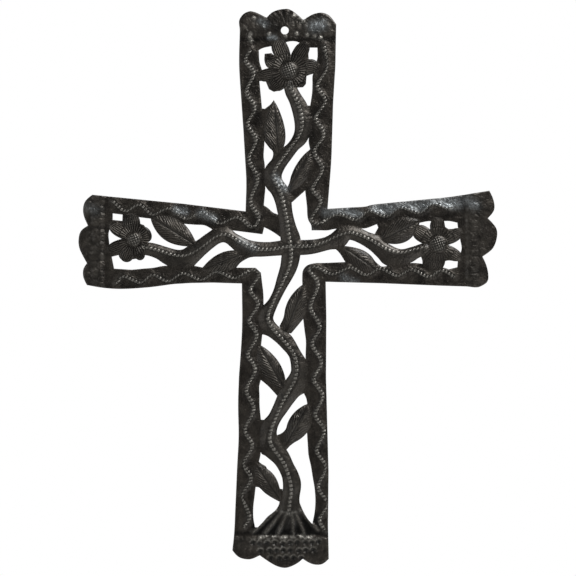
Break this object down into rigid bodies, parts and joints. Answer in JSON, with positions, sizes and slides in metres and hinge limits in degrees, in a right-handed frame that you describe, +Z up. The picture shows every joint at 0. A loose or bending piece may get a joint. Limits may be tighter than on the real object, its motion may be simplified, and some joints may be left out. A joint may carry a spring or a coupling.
{
  "type": "wall cross",
  "caption": "Hanging cross of one hammered steel sheet, pierced and chased with a vine, leaves and flowers inside a wavy border.",
  "frame": {"origin": "On the wall plane, at the centre of the nail hole in the top arm.", "axes": "+X to the right as seen from the front, +Y into the wall, +Z up. The chased front faces -Y."},
  "size_m": [0.2473, 0.0031, 0.3302],
  "materials": {
    "blackened_steel": "dark brown-black lacquered steel, hammered and chased, brighter where it is rubbed"
  },
  "bodies": {
    "root": {"cross": "blackened_steel"}
  },
  "joints": []
}
